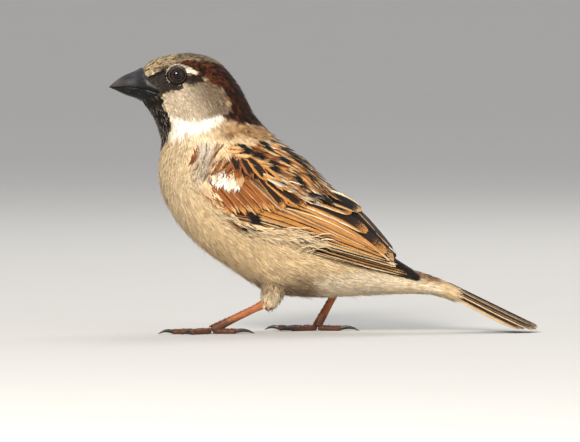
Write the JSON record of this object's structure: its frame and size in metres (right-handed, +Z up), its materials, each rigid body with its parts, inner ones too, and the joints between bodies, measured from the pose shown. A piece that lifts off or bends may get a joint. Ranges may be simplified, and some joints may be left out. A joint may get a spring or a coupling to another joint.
{
  "type": "house sparrow",
  "caption": "Life-size still model of a male house sparrow standing alert on both feet, tail down, bill to the side.",
  "frame": {"origin": "on the floor under the middle of the bird's box, half way between bill tip and tail tip", "axes": "+Z up, bill towards -X, tail towards +X, the bird's left side towards -Y"},
  "size_m": [0.1339, 0.0388, 0.0876],
  "materials": {
    "bill": "blackish horn, smooth with a soft sheen",
    "eye": "dark brown iris and black pupil under a wet, clear surface",
    "plumage_head": "close short feathers: grey-brown crown, chestnut sides, pale cheek, black lores and throat",
    "plumage_neck": "soft feathers, white at the side, black bib in front, chestnut behind",
    "plumage_body": "soft loose feathers, buff white below, black and buff streaks on the back",
    "plumage_wing": "smooth vanes with dark centres and buff edges, chestnut shoulder, white bar",
    "plumage_tail": "long smooth vanes, grey-brown with thin buff edges",
    "leg_skin": "pinkish brown scutes, dull",
    "claw": "dark horn, slightly shiny"
  },
  "bodies": {
    "root": {"bill_upper": "bill", "bill_lower": "bill", "head": "plumage_head", "neck": "plumage_neck", "trunk": "plumage_body", "tail": "plumage_tail", "left_eye": "eye", "left_wing_coverts": "plumage_wing", "left_wing_secondaries": "plumage_wing", "left_wing_primaries": "plumage_wing", "left_thigh": "plumage_body", "left_tarsus": "leg_skin", "left_toe_middle": "leg_skin", "left_claw_middle": "claw", "left_toe_inner": "leg_skin", "left_claw_inner": "claw", "left_toe_outer": "leg_skin", "left_claw_outer": "claw", "left_toe_hind": "leg_skin", "left_claw_hind": "claw", "right_eye": "eye", "right_wing_coverts": "plumage_wing", "right_wing_secondaries": "plumage_wing", "right_wing_primaries": "plumage_wing", "right_thigh": "plumage_body", "right_tarsus": "leg_skin", "right_toe_middle": "leg_skin", "right_claw_middle": "claw", "right_toe_inner": "leg_skin", "right_claw_inner": "claw", "right_toe_outer": "leg_skin", "right_claw_outer": "claw", "right_toe_hind": "leg_skin", "right_claw_hind": "claw"}
  },
  "joints": []
}
